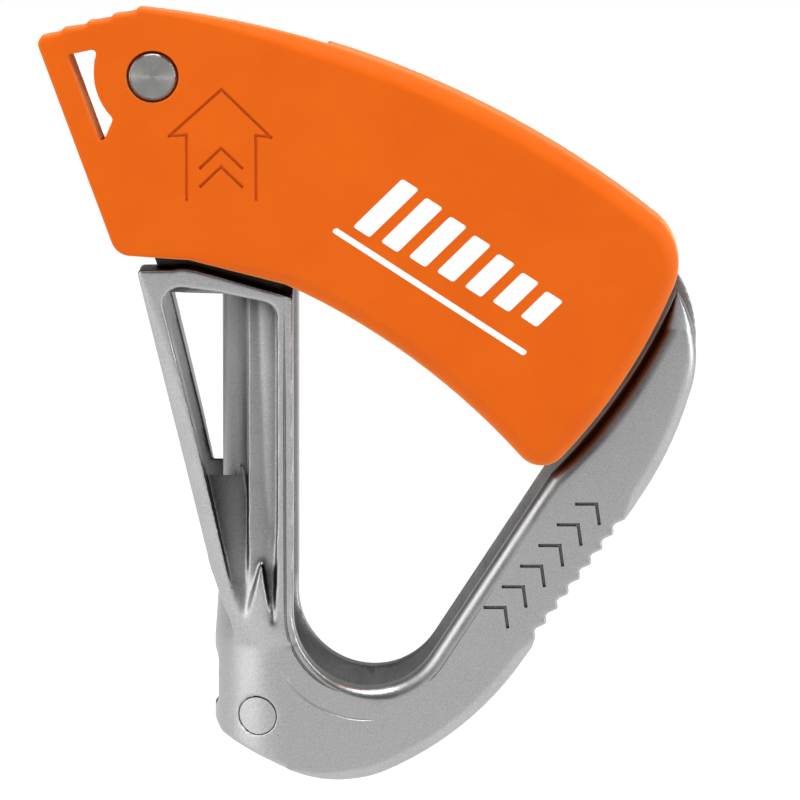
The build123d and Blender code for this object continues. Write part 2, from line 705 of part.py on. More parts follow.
# ---------------------------------------------------------------- torsion spring
coil_inner_r = SPRING_MEAN_R - SPRING_BAND
coil_outer_r = SPRING_MEAN_R + SPRING_BAND
coil_ring = pivot_ring(coil_inner_r, coil_outer_r, SPRING_HALF_Y, -SPRING_HALF_Y)
with BuildPart() as torsion_spring:
    add(coil_ring)
    for y, leg_deg, side in ((-SPRING_HALF_Y + SPRING_BAND, STOP_CLOSED_DEG - LEG_TURN, 90),
                             (SPRING_HALF_Y - SPRING_BAND, SPRING_POST_DEG + LEG_TURN, -90)):
        start = polar(SPRING_MEAN_R, leg_deg + side)
        direction = Vector(cos(radians(leg_deg)), 0, sin(radians(leg_deg)))
        with BuildSketch(Plane(origin=(start[0], y, start[1]), z_dir=direction)):
            Circle(SPRING_WIRE_R)
        extrude(amount=SPRING_LEG)
torsion_spring.part.label = "torsion_spring"
export_step(torsion_spring.part, "parts/torsion_spring.step")
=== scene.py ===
"""Pocket rope ascender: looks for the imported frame, with studio light and the catalogue view."""

import json
import math

import bmesh
import bpy
import numpy as np
from mathutils import Matrix, Vector
from mathutils.bvhtree import BVHTree


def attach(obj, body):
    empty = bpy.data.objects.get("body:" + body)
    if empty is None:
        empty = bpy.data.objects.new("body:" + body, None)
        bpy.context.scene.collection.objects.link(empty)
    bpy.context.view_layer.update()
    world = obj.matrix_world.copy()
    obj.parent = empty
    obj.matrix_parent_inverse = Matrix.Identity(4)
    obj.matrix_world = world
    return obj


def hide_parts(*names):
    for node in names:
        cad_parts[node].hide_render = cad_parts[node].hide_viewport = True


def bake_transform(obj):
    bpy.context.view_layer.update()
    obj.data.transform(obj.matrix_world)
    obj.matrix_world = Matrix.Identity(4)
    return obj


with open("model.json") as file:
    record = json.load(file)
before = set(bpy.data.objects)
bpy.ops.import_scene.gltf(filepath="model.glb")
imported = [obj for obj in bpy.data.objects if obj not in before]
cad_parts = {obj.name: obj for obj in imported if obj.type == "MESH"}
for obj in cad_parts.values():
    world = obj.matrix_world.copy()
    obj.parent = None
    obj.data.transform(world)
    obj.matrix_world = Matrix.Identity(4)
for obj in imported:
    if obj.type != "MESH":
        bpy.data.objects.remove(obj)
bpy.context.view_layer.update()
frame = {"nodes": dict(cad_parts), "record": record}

MM = 0.001
NODES = frame["nodes"]
PIVOT = np.array(frame["record"]["behaviour"]["joints"][0]["pos_m"]) / MM

# ---------------------------------------------------------------- driving dimensions (mm)
CHEEK_Y = 8.5              # outer face of each cheek of the frame
LUG_Y = 7.5                # outer face of each lug, above the flange
COVER_Y = 10.8             # outer face of the cover
COVER_BACK_Y = 7.8         # inner face of the cover's wall
PRINT_T = 0.02             # thickness of the print on the cover
ARM_R = 60.5               # inner side of the arm, about the pivot
ARM_FROM_X = 14.0          # the arm is to the right of this
HOLE_MIDDLE = np.array([12.0, 12.0])
ARM_EDGE_ROUND = 1.3       # outer edge of the arm and bow
ARM_INNER_ROUND = 2.0      # inner edge of the arm, beside the cover
SERRATIONS = np.array([(26.3, -4.3), (35.9, 8.7)])    # first and last, X and Z
SERRATION_ROUND = 0.25
RIM_ROUND = 0.36           # edge of the carabiner hole, on the post
RIM_ARM_ROUND = 1.5        # and on the arm
ARM_TIP_Z = 33.4
ARM_LINE_IN = 1.66         # fine line where that round meets the face
ARM_LINE_R = 0.1
RIM_GROOVE_IN = 0.86       # groove beside the rim, in from the hole
RIM_GROOVE_R = 0.17
RIM_GROOVE_END_X = 6.0
HOLE_CORNER = (8.35, -1.85)
RIDGE_R = 11.4             # faint ridge around the hole's round corner
RIDGE_DEG = (203.0, 282.0)
RIM_GROOVE_LIFT = 0.02     # the cutting tube's middle stands off the face, so the groove is shallow
RIDGE_LIFT = 0.11
ARM_LINE_LIFT = 0.03
POST_RIGHT_X = 0.3
RIB_BOTTOM_Z = -5.0
RIB_TOP_Z = 33.2
RIB_JOIN_Z = -1.9          # where the groove beside the rim turns up the post
FLANGE_LEAN = 1.4 / 42.0   # how much the flange leans out, per mm of height
ENGRAVE_W = 0.35
ENGRAVE_DEPTH = 0.25
ENGRAVE_OVER = 0.3         # the cutter reaches this far out of the face
TAB_HOLE_LEFT = np.array([(-20.0, 49.0), (-23.6, 58.9)])    # ends of the tab hole's left wall
TAB_WALL_SLANT = 0.5       # how far the tab hole's left wall leans in, front to back
COVER_ROUND_TAB = 0.45     # front edge of the cover, at the tab
COVER_ROUND_BODY = 1.95    # and over its body
ARROW_ZONE = (-14.0, -1.0, 42.5, 56.0)      # X and Z around the arrow
RIVET_RECESS_R = 3.4
ARROW = [(-10.9, 43.5), (-10.9, 50.4), (-12.7, 50.3), (-7.15, 55.3), (-1.9, 50.2), (-3.5, 50.4), (-3.5, 43.5)]
CHEVRONS = [[(-9.4, z), (-7.2, z + 2.1), (-5.0, z)] for z in (46.9, 44.9)]
ARM_CHEVRONS = np.array([(22.6, -1.4), (32.4, 9.9)])   # first and last of the row
ARM_CHEVRON_COUNT = 6
ARM_CHEVRON_HALF_L = 0.7   # along the arm
ARM_CHEVRON_HALF_W = 1.6   # across it

PRINT_MIDDLE = np.array((18.0, 36.6))
PRINT_SLOPE = -33.0        # degrees
PRINT_LEAN = 0.22          # slant of the bars
PRINT_CORNER = 0.28
BAR_COUNT = 7
BAR_PITCH = 3.3
BAR_HALF_W = 1.05
BAR_HALF_H = 3.6           # of the tallest bar
BAR_STEP = 0.28            # each next bar is this much shorter at both ends
BAR_LIFT = 0.9
UNDERLINE = (-12.2, 12.2, -4.4, -3.75)

SPRING_R = 3.7             # middle of the wire
WIRE_R = 0.4
SPRING_HALF_Y = 3.75
SPRING_LEG = 9.0
SPRING_TURNS = 7
FRONT_LEG_DEG = -116.3
REAR_LEG_DEG = -43.7

FRAME_VOXEL = 0.16
COVER_VOXEL = 0.2
FRAME_KEEP = 0.3           # part of the faces kept when the mesh is thinned
COVER_KEEP = 0.35
SNAP_FULL = 0.04           # points this near a CAD face go back onto it
SNAP_NONE = 0.10           # and points this far off stay

LIGHT_AIM = (0.012, 0, 0.022)               # metres
LIGHTS = [("top", (-0.05, -0.2, 0.8), (0.6, 0.5), 7.5),       # name, place, size, watts
          ("left", (-0.75, -0.3, 0.15), (0.6, 0.8), 4.4),
          ("right", (0.8, -0.16, 0.2), (0.5, 0.8), 5.5)]
FLOOR_Z = -0.085
CAMERA_TARGET = (0.0118, -0.009, 0.0217)    # metres
CAMERA_AZIMUTH = 1.7       # degrees
CAMERA_ELEVATION = 8.8
VIEW_WIDTH = 0.0856        # metres seen at the target, 1 m from the camera


# ---------------------------------------------------------------- mesh helpers
def arrays(mesh):
    """Vertices in mm and triangles of a mesh, with doubled vertices joined."""
    bm = bmesh.new()
    bm.from_mesh(mesh)
    bmesh.ops.remove_doubles(bm, verts=bm.verts, dist=1e-7)
    bmesh.ops.triangulate(bm, faces=bm.faces)
    bm.verts.index_update()
    points = np.array([v.co[:] for v in bm.verts]) / MM
    faces = np.array([[v.index for v in f.verts] for f in bm.faces])
    bm.free()
    return points, faces


def new_object(name, mesh):
    """An object of the scene that holds the mesh."""
    obj = bpy.data.objects.new(name, mesh)
    bpy.context.scene.collection.objects.link(obj)
    return obj


def mesh_object(name, points, faces):
    """A new object from points in mm and faces."""
    mesh = bpy.data.meshes.new(name)
    mesh.from_pydata([tuple(p * MM) for p in np.asarray(points, float)], [], [tuple(f) for f in faces])
    mesh.validate()
    return new_object(name, mesh)


def bake_modifiers(obj):
    """Applies the object's modifiers to its mesh."""
    bpy.context.view_layer.update()
    evaluated = obj.evaluated_get(bpy.context.evaluated_depsgraph_get())
    mesh = bpy.data.meshes.new_from_object(evaluated)
    obj.modifiers.clear()
    old = obj.data
    obj.data = mesh
    bpy.data.meshes.remove(old)


def remeshed(node, name, voxel):
    """A fine even mesh of a CAD node, its edges a little rounded and its faces back on the CAD faces."""
    points, faces = arrays(NODES[node].data)
    obj = mesh_object(name, points, faces)
    remesh = obj.modifiers.new("remesh", "REMESH")
    remesh.mode = "VOXEL"
    remesh.voxel_size = voxel * MM
    soften = obj.modifiers.new("soften", "SMOOTH")
    soften.factor = 0.5
    soften.iterations = 4
    bake_modifiers(obj)
    tree = BVHTree.FromPolygons([Vector(p) for p in points], [list(f) for f in faces])
    soft = vertices(obj)
    for i, p in enumerate(soft):
        near, _, _, gap = tree.find_nearest(p)
        if gap < SNAP_NONE:
            keep = max(0.0, (gap - SNAP_FULL) / (SNAP_NONE - SNAP_FULL))
            soft[i] = keep * p + (1 - keep) * np.array(near)
    set_vertices(obj, soft)
    return obj


def settle(obj, rounds, weight):
    """Evens out small waves of the mesh. The weight, 0 to 1, is a function of the points."""
    points = vertices(obj)
    edges = np.zeros(len(obj.data.edges) * 2, dtype=np.int64)
    obj.data.edges.foreach_get("vertices", edges)
    a = edges[0::2]
    b = edges[1::2]
    n = len(points)
    count = np.maximum(np.bincount(a, minlength=n) + np.bincount(b, minlength=n), 1)
    pull = 0.5 * weight(points)
    for _ in range(rounds):
        for k in range(3):
            total = np.bincount(a, points[b, k], n) + np.bincount(b, points[a, k], n)
            points[:, k] += pull * (total / count - points[:, k])
    set_vertices(obj, points)


def vertices(obj):
    """The object's points in mm."""
    flat = np.zeros(len(obj.data.vertices) * 3)
    obj.data.vertices.foreach_get("co", flat)
    return flat.reshape(-1, 3) / MM


def set_vertices(obj, points):
    """Moves the object's points, in mm."""
    obj.data.vertices.foreach_set("co", (points * MM).ravel())
    obj.data.update()


def near_segments(flat_points, segments):
    """Distance of each (X, Z) point from a set of segments, and the unit vector into the material."""
    best = np.full(len(flat_points), 1e9)
    inward = np.zeros((len(flat_points), 2))
    for a, b, normal in segments:
        along = b - a
        t = np.clip(((flat_points - a) @ along) / (along @ along), 0, 1)
        gap = flat_points - (a + t[:, None] * along)
        dist = np.hypot(gap[:, 0], gap[:, 1])
        closer = dist < best - 1e-9
        best[closer] = dist[closer]
        unit = gap / np.maximum(dist, 1e-9)[:, None]
        unit[dist < 0.05] = -normal
        inward[closer] = unit[closer]
    return best, inward


def round_edge(points, segments, radius, face_y, side):
    """Rounds the edge between a flat face at face_y (on the side -1 or 1) and the walls along the segments.
    A point in the corner's square moves onto the quarter circle."""
    depth = side * (face_y - points[:, 1])
    near = np.where((depth > -0.2) & (depth < 2.6))[0]
    dist, inward = near_segments(points[near][:, [0, 2]], segments)
    r = radius(points[near]) if callable(radius) else np.full(len(near), radius)
    h = np.maximum(depth[near], 0.0)
    inside = (dist < r) & (h < r)
    away = np.stack([dist - r, h - r], 1)
    length = np.maximum(np.hypot(away[:, 0], away[:, 1]), 1e-9)
    move = inside & (length > r)
    target = r[:, None] + away * (r / length)[:, None]
    shift = (target[:, 0] - dist)[:, None] * inward
    picked = near[move]
    points[picked, 0] += shift[move, 0]
    points[picked, 2] += shift[move, 1]
    points[picked, 1] = face_y - side * target[move, 1]
    return points


def thin_out(obj, ratio):
    """Fewer faces where the mesh is flat."""
    decimate = obj.modifiers.new("thin", "DECIMATE")
    decimate.ratio = ratio
    bake_modifiers(obj)


def shade_smooth(obj, crease=None):
    """Smooth shading; edges sharper than the crease angle in degrees stay crisp."""
    obj.data.polygons.foreach_set("use_smooth", [True] * len(obj.data.polygons))
    if crease is not None:
        obj.data.set_sharp_from_angle(angle=math.radians(crease))
    obj.data.update()


def swept_tube(name, path, radius, sides=10, fade=False):
    """A tube of a radius in mm along (X, Y, Z) points; with fade, it thins out at both ends."""
    path = np.asarray(path, float)
    rings = []
    for i, p in enumerate(path):
        before = path[max(i - 1, 0)]
        after = path[min(i + 1, len(path) - 1)]
        ahead = Vector(after - before).normalized()
        across = ahead.cross(Vector((0, 1, 0))).normalized()
        up = across.cross(ahead)
        t = i / (len(path) - 1)
        here = radius * min(1.0, 0.15 + 5 * t, 0.15 + 5 * (1 - t)) if fade else radius
        rings.append([np.array(Vector(p) + here * (math.cos(a) * across + math.sin(a) * up))
                      for a in np.linspace(0, 2 * math.pi, sides, endpoint=False)])
    points = [q for ring in rings for q in ring]
    faces = []
    for i in range(len(rings) - 1):
        for k in range(sides):
            a = i * sides + k
            b = i * sides + (k + 1) % sides
            faces.append((a, b, b + sides, a + sides))
    faces.append(tuple(range(sides))[::-1])
    faces.append(tuple((len(rings) - 1) * sides + k for k in range(sides)))
    return facing_out(mesh_object(name, points, faces))


def facing_out(obj):
    """Turns the faces outward."""
    bm = bmesh.new()
    bm.from_mesh(obj.data)
    bmesh.ops.recalc_face_normals(bm, faces=bm.faces)
    bm.to_mesh(obj.data)
    bm.free()
    return obj


def stroke_box(a, b, face_y):
    """Corners of a thin box along a stroke from a to b, (X, Z) points, cut into a face that looks to -Y."""
    a = np.asarray(a, float)
    b = np.asarray(b, float)
    ahead = (b - a) / np.linalg.norm(b - a)
    side = np.array([-ahead[1], ahead[0]]) * ENGRAVE_W / 2
    a = a - ahead * ENGRAVE_W / 2
    b = b + ahead * ENGRAVE_W / 2
    flat = [a + side, b + side, b - side, a - side]
    front = [(p[0], face_y - ENGRAVE_OVER, p[1]) for p in flat]
    back = [(p[0], face_y + ENGRAVE_DEPTH, p[1]) for p in flat]
    return front + back


BOX_FACES = [(0, 1, 2, 3), (7, 6, 5, 4), (0, 4, 5, 1), (1, 5, 6, 2), (2, 6, 7, 3), (3, 7, 4, 0)]


def carve(obj, cutter):
    """Cuts the cutter out of the object and removes it. Keeps the object as it was if the cut goes wrong.
    Both are enlarged for the cut, because the boolean loses thin shapes at real size."""
    before = volume(obj)
    kept = obj.data.copy()
    for part in (obj, cutter):
        part.data.transform(Matrix.Scale(1 / MM, 4))
    cut = obj.modifiers.new("cut", "BOOLEAN")
    cut.operation = "DIFFERENCE"
    cut.solver = "EXACT"
    cut.use_self = True
    cut.object = cutter
    bake_modifiers(obj)
    obj.data.transform(Matrix.Scale(MM, 4))
    if not 0.95 * before < volume(obj) < before:
        print("cut left out:", obj.name)
        obj.data = kept
    bpy.data.objects.remove(cutter)


def volume(obj):
    """Volume in cubic mm."""
    bm = bmesh.new()
    bm.from_mesh(obj.data)
    inside = bm.calc_volume(signed=True) / MM ** 3
    bm.free()
    return inside


# ---------------------------------------------------------------- outlines read from the frame
def flat_outline(points, faces, y):
    """Border segments (a, b, outward normal) in X and Z of the flat face at depth y."""
    flat = faces[np.all(np.abs(points[faces][:, :, 1] - y) < 1e-3, axis=1)]
    uses = {}
    for tri in flat:
        for k in range(3):
            pair = (int(tri[k]), int(tri[(k + 1) % 3]))
            uses.setdefault(tuple(sorted(pair)), []).append(int(tri[(k + 2) % 3]))
    segments = []
    for (i, j), thirds in uses.items():
        if len(thirds) == 1:
            a = points[i][[0, 2]]
            b = points[j][[0, 2]]
            if np.linalg.norm(b - a) > 1e-4:
                normal = np.array([(b - a)[1], -(b - a)[0]]) / np.linalg.norm(b - a)
                if normal @ (points[thirds[0]][[0, 2]] - a) > 0:
                    normal = -normal
                segments.append((a, b, normal))
    return segments


def frame_borders():
    """Outer edge of the arm and bow, rim of the carabiner hole, and the arm's side beside the cover."""
    points, faces = arrays(NODES["frame"].data)
    outer, rim, arm = [], [], []
    for a, b, normal in flat_outline(points, faces, CHEEK_Y):
        middle = (a + b) / 2
        if middle[0] < 0.25:
            continue
        if normal @ (HOLE_MIDDLE - middle) < 0 and middle[0] > 0.35:
            outer.append((a, b, normal))
        elif abs(np.hypot(*(middle - PIVOT[[0, 2]])) - ARM_R) < 0.08:
            arm.append((a, b, normal))
        else:
            rim.append((a, b, normal))
    return outer, rim, arm


def cover_border():
    """Outline of the cover, from its side walls. Walls of holes face other walls and are left out."""
    points, faces = arrays(NODES["gate_shell"].data)
    tree = BVHTree.FromPolygons([Vector(p) for p in points], [list(f) for f in faces])
    segments = []
    for tri in faces:
        corners = points[tri]
        normal = np.cross(corners[1] - corners[0], corners[2] - corners[0])
        size = np.linalg.norm(normal)
        if size < 1e-6 or abs(normal[1]) / size > 0.02:
            continue
        if corners[:, 1].min() > -COVER_BACK_Y + 0.1 or corners[:, 1].max() < -COVER_BACK_Y - 0.1:
            continue
        flat = corners[:, [0, 2]]
        pairs = sorted(((np.linalg.norm(flat[i] - flat[j]), i, j) for i, j in ((0, 1), (1, 2), (2, 0))),
                       key=lambda pair: pair[0])
        a = flat[pairs[-1][1]]
        b = flat[pairs[-1][2]]
        out = np.array([normal[0], normal[2]]) / np.hypot(normal[0], normal[2])
        middle = (a + b) / 2 + 0.02 * out
        hit = tree.ray_cast(Vector((middle[0], -9.5, middle[1])), Vector((out[0], 0, out[1])))
        if hit[0] is None and np.linalg.norm(b - a) > 1e-4:
            segments.append((a, b, out))
    return segments


# ---------------------------------------------------------------- cast frame
def offset_path(segments, inset):
    """Points of a chain of segments, moved into the material."""
    rest = [(a - inset * n, b - inset * n) for a, b, n in segments]
    rest.sort(key=lambda pair: -max(pair[0][0], pair[1][0]))
    chain = sorted(rest.pop(0), key=lambda p: -p[0])
    while rest:
        gaps = [min(np.linalg.norm(chain[-1] - a), np.linalg.norm(chain[-1] - b)) for a, b in rest]
        k = int(np.argmin(gaps))
        if gaps[k] > 0.5:
            break
        a, b = rest.pop(k)
        if np.linalg.norm(chain[-1] - b) < np.linalg.norm(chain[-1] - a):
            a, b = b, a
        chain.extend([a, b])
    clean = [chain[0]]
    for p in chain[1:]:
        if np.linalg.norm(p - clean[-1]) > 0.3:
            clean.append(p)
    return np.array(clean)


def face_depth(x, z):
    """Depth of the frame's outer face: flat on the arm and bow, leaning out up the post."""
    if x > POST_RIGHT_X:
        return CHEEK_Y
    return CHEEK_Y + FLANGE_LEAN * max(0.0, z - RIB_BOTTOM_Z)


def strokes(lines, face_y):
    """One cutter for engraved strokes along lines of (X, Z) points."""
    points = []
    faces = []
    for line in lines:
        for a, b in zip(line[:-1], line[1:]):
            base = len(points)
            points.extend(stroke_box(a, b, face_y))
            faces.extend([tuple(base + k for k in face) for face in BOX_FACES])
    return facing_out(mesh_object("strokes", points, faces))


def arm_chevrons():
    """Chevrons in a row along the arm."""
    first, last = ARM_CHEVRONS
    ahead = (last - first) / np.linalg.norm(last - first)
    side = np.array((-ahead[1], ahead[0])) * ARM_CHEVRON_HALF_W
    ahead = ahead * ARM_CHEVRON_HALF_L
    middles = np.linspace(first, last, ARM_CHEVRON_COUNT)
    return [[m - ahead + side, m + ahead, m - ahead - side] for m in middles]


def join(objs):
    """One object from several."""
    bm = bmesh.new()
    for obj in objs:
        bm.from_mesh(obj.data)
        bpy.data.objects.remove(obj)
    mesh = bpy.data.meshes.new("joined")
    bm.to_mesh(mesh)
    bm.free()
    return new_object("joined", mesh)


def towards_tip(points):
    """1 along the frame, falling to a small part at the pointed end of the arm."""
    return np.where(points[:, 0] > 30, np.clip((ARM_TIP_Z - points[:, 2]) / 4.0, 0.12, 1), 1.0)


def outer_round(points):
    """Radius of the outer edge: small along the serrations and at the post, full elsewhere."""
    start, end = SERRATIONS
    ahead = (end - start) / np.linalg.norm(end - start)
    along = (points[:, [0, 2]] - start) @ ahead
    beyond = np.maximum(-along, along - np.linalg.norm(end - start))
    full = np.clip(beyond / 2.5, 0, 1) * np.clip((points[:, 0] - 0.4) / 6.0, 0, 1)
    return (SERRATION_ROUND + (ARM_EDGE_ROUND - SERRATION_ROUND) * full) * towards_tip(points)


def rim_round(points):
    """Radius of the hole's edge: a narrow bead on the post, a broad round on the arm."""
    right = np.clip((points[:, 0] - 2.0) / 9.0, 0, 1)
    high = np.clip((points[:, 2] - 11.0) / 7.0, 0, 1) * right
    broad = (RIM_ARM_ROUND - RIM_ROUND) * right + (ARM_INNER_ROUND - RIM_ARM_ROUND) * high
    return (RIM_ROUND + broad) * towards_tip(points)


def on_post(points):
    """1 on the post and its window, 0 from its right edge on."""
    return np.clip((POST_RIGHT_X - 0.6 - points[:, 0]) / 0.5, 0, 1)


def at_pocket_foot(points):
    """The foot of the post's window, where its walls run out in long soft creases."""
    low = np.clip((6.0 - points[:, 2]) / 6.0, 0, 1) * np.clip((points[:, 2] + 9.0) / 2.0, 0, 1)
    return low * on_post(points)


def at_rim_join(points):
    """Where the hole's rim runs into the straight edge of the post."""
    return np.clip(1.5 - np.hypot(points[:, 0] - POST_RIGHT_X, points[:, 2] - RIB_JOIN_Z) / 1.5, 0, 1)


def build_frame():
    """The cast frame with rounded edges, grooves and chevrons."""
    obj = remeshed("frame", "cast_frame", FRAME_VOXEL)
    settle(obj, 5, on_post)
    settle(obj, 32, at_pocket_foot)
    outer, rim, arm = frame_borders()
    points = vertices(obj)
    for side in (-1, 1):
        face_y = side * CHEEK_Y
        flat_zone = (np.abs(points[:, 1] - face_y) < 0.3) & (points[:, 0] > ARM_FROM_X)
        points[flat_zone, 1] = face_y
        lug = (points[:, 0] > -1.5) & (points[:, 0] < 0.35) & (points[:, 2] > RIB_TOP_Z + 0.25)
        lug &= np.abs(points[:, 1] - side * LUG_Y) < 0.25
        points[lug, 1] = side * LUG_Y
        points = round_edge(points, outer, outer_round, face_y, side)
        points = round_edge(points, rim + arm, rim_round, face_y, side)
    set_vertices(obj, points)
    settle(obj, 20, at_rim_join)
    thin_out(obj, FRAME_KEEP)
    low_path = [p for p in offset_path(rim, RIM_GROOVE_IN) if p[0] < RIM_GROOVE_END_X and p[1] < RIB_JOIN_Z]
    rib = [(POST_RIGHT_X - RIM_GROOVE_IN, z) for z in np.linspace(RIB_JOIN_Z + 0.4, RIB_TOP_Z, 14)]
    arm_line = [p for p in offset_path(rim, ARM_LINE_IN) if p[0] > ARM_FROM_X]
    ridge = [(HOLE_CORNER[0] + RIDGE_R * math.cos(t), HOLE_CORNER[1] + RIDGE_R * math.sin(t))
             for t in np.radians(np.linspace(*RIDGE_DEG, 24))]
    cutters = [strokes(arm_chevrons(), -CHEEK_Y)]
    for side in (-1, 1):
        for path, lift, radius in (([*low_path, *rib], RIM_GROOVE_LIFT, RIM_GROOVE_R),
                                   (ridge, RIDGE_LIFT, RIM_GROOVE_R), (arm_line, ARM_LINE_LIFT, ARM_LINE_R)):
            line = [(x, side * (face_depth(x, z) + lift), z) for x, z in path]
            cutters.append(swept_tube("groove", line, radius, fade=True))
    carve(obj, join(cutters))
    shade_smooth(obj, 35)
    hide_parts("frame")
    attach(obj, "frame")
    return obj


# ---------------------------------------------------------------- cover
def cover_round(points):
    """Radius of the cover's front edge: small at the tab, full over the body."""
    t = np.clip((points[:, 0] + 16.0) / 22.0, 0, 1)
    return COVER_ROUND_TAB + (COVER_ROUND_BODY - COVER_ROUND_TAB) * t * t * (3 - 2 * t)


def build_cover():
    """The orange cover with its rounded front edge, arrow and chevrons."""
    obj = remeshed("gate_shell", "cover_shell", COVER_VOXEL)
    border = cover_border()
    points = vertices(obj)
    from_pivot = np.hypot(points[:, 0] - PIVOT[0], points[:, 2] - PIVOT[2])
    x0, x1, z0, z1 = ARROW_ZONE
    near_arrow = (points[:, 0] > x0) & (points[:, 0] < x1) & (points[:, 2] > z0) & (points[:, 2] < z1)
    near_arrow &= (from_pivot > RIVET_RECESS_R) & (points[:, 1] < -COVER_Y + 0.35)
    points[near_arrow, 1] = -COVER_Y
    points = round_edge(points, border, cover_round, -COVER_Y, -1)
    points[:, 1] = np.maximum(points[:, 1], -COVER_Y + PRINT_T)
    wall = TAB_HOLE_LEFT[1] - TAB_HOLE_LEFT[0]
    wall = wall / np.linalg.norm(wall)
    rel = points[:, [0, 2]] - TAB_HOLE_LEFT[0]
    along = rel @ wall
    off = rel @ np.array((wall[1], -wall[0]))
    on_wall = (np.abs(off) < 0.12) & (along > 0.2) & (along < 10.3)
    shift = np.where(on_wall, TAB_WALL_SLANT * (points[:, 1] + COVER_Y) / (COVER_Y - COVER_BACK_Y), 0)
    points[:, 0] += shift * wall[1]
    points[:, 2] -= shift * wall[0]
    set_vertices(obj, points)
    thin_out(obj, COVER_KEEP)
    carve(obj, strokes([ARROW, *CHEVRONS], -COVER_Y))
    shade_smooth(obj, 35)
    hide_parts("gate_shell")
    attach(obj, "gate")
    return obj


def build_print():
    """White print on the cover: a row of slanted bars that step down in height, over a thin underline."""
    ahead = np.array((math.cos(math.radians(PRINT_SLOPE)), math.sin(math.radians(PRINT_SLOPE))))
    up = np.array((-ahead[1], ahead[0]))
    plates = [UNDERLINE]
    for i in range(BAR_COUNT):
        u = (i - (BAR_COUNT - 1) / 2) * BAR_PITCH
        half = BAR_HALF_H - BAR_STEP * i
        plates.append((u - BAR_HALF_W, u + BAR_HALF_W, BAR_LIFT - half, BAR_LIFT + half))
    bm = bmesh.new()
    for u0, u1, v0, v1 in plates:
        corners = [(u0 + PRINT_LEAN * v0, v0), (u1 + PRINT_LEAN * v0, v0),
                   (u1 + PRINT_LEAN * v1, v1), (u0 + PRINT_LEAN * v1, v1)]
        flat = [PRINT_MIDDLE + u * ahead + v * up for u, v in corners]
        front = [bm.verts.new((p[0] * MM, -COVER_Y * MM, p[1] * MM)) for p in flat]
        back = [bm.verts.new((p[0] * MM, (PRINT_T - COVER_Y + 0.03) * MM, p[1] * MM)) for p in flat]
        bm.faces.new(front)
        bm.faces.new(back[::-1])
        for k in range(4):
            bm.faces.new((front[k], back[k], back[(k + 1) % 4], front[(k + 1) % 4]))
    bmesh.ops.recalc_face_normals(bm, faces=bm.faces)
    upright = [e for e in bm.edges if abs(e.verts[0].co.y - e.verts[1].co.y) > 1e-6]
    bmesh.ops.bevel(bm, geom=upright, offset=PRINT_CORNER * MM, segments=4, affect="EDGES", profile=0.5)
    mesh = bpy.data.meshes.new("cover_print")
    bm.to_mesh(mesh)
    bm.free()
    obj = new_object("cover_print", mesh)
    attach(obj, "gate")
    return obj


# ---------------------------------------------------------------- torsion spring
def build_spring():
    """Wound wire about the pivot with a leg to the post on the frame and one to the pin on the cover."""
    start = math.radians(FRONT_LEG_DEG + 90)
    end = math.radians(REAR_LEG_DEG - 90 + 360 * SPRING_TURNS)
    line = []
    for t in np.linspace(0, 1, 36 * SPRING_TURNS + 1):
        angle = start + (end - start) * t
        line.append((PIVOT[0] + SPRING_R * math.cos(angle), SPRING_HALF_Y * (2 * t - 1),
                     PIVOT[2] + SPRING_R * math.sin(angle)))
    legs = [SPRING_LEG * np.array((math.cos(math.radians(deg)), 0, math.sin(math.radians(deg))))
            for deg in (FRONT_LEG_DEG, REAR_LEG_DEG)]
    path = [np.array(line[0]) + legs[0], *line, np.array(line[-1]) + legs[1]]
    obj = swept_tube("spring_wire", path, WIRE_R, sides=12)
    shade_smooth(obj)
    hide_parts("torsion_spring")
    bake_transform(obj)
    return obj


# ---------------------------------------------------------------- materials
def socket(node, name, value):
    """Sets one input of a node."""
    node.inputs[name].default_value = value


def material(name, base, metallic, rough):
    """A new material: itself, its nodes, its links and its shader."""
    mat = bpy.data.materials.new(name)
    mat.use_nodes = True
    nodes = mat.node_tree.nodes
    shader = nodes["Principled BSDF"]
    socket(shader, "Base Color", (*base, 1))
    socket(shader, "Metallic", metallic)
    socket(shader, "Roughness", rough)
    return mat, nodes, mat.node_tree.links, shader


def noise(nodes, links, coords, scale, detail=4.0, rough=0.55):
    """A noise value, 0 to 1."""
    node = nodes.new("ShaderNodeTexNoise")
    socket(node, "Scale", scale)
    socket(node, "Detail", detail)
    socket(node, "Roughness", rough)
    links.new(coords, node.inputs["Vector"])
    return node.outputs["Fac"]


def spread(nodes, links, fac, low, high):
    """Maps 0.35-0.65 of a noise to low-high."""
    node = nodes.new("ShaderNodeMapRange")
    socket(node, "From Min", 0.35)
    socket(node, "From Max", 0.65)
    socket(node, "To Min", low)
    socket(node, "To Max", high)
    links.new(fac, node.inputs["Value"])
    return node.outputs["Result"]


def tint(nodes, links, fac, dark, light):
    """A colour between dark and light."""
    node = nodes.new("ShaderNodeMix")
    node.data_type = "RGBA"
    links.new(fac, node.inputs[0])
    node.inputs[6].default_value = (*dark, 1)
    node.inputs[7].default_value = (*light, 1)
    return node.outputs[2]


def bump(nodes, links, shader, height, strength, distance):
    """Surface relief from a height value."""
    node = nodes.new("ShaderNodeBump")
    socket(node, "Strength", strength)
    socket(node, "Distance", distance)
    links.new(height, node.inputs["Height"])
    links.new(node.outputs["Normal"], shader.inputs["Normal"])


def object_coords(nodes):
    return nodes.new("ShaderNodeTexCoord").outputs["Object"]


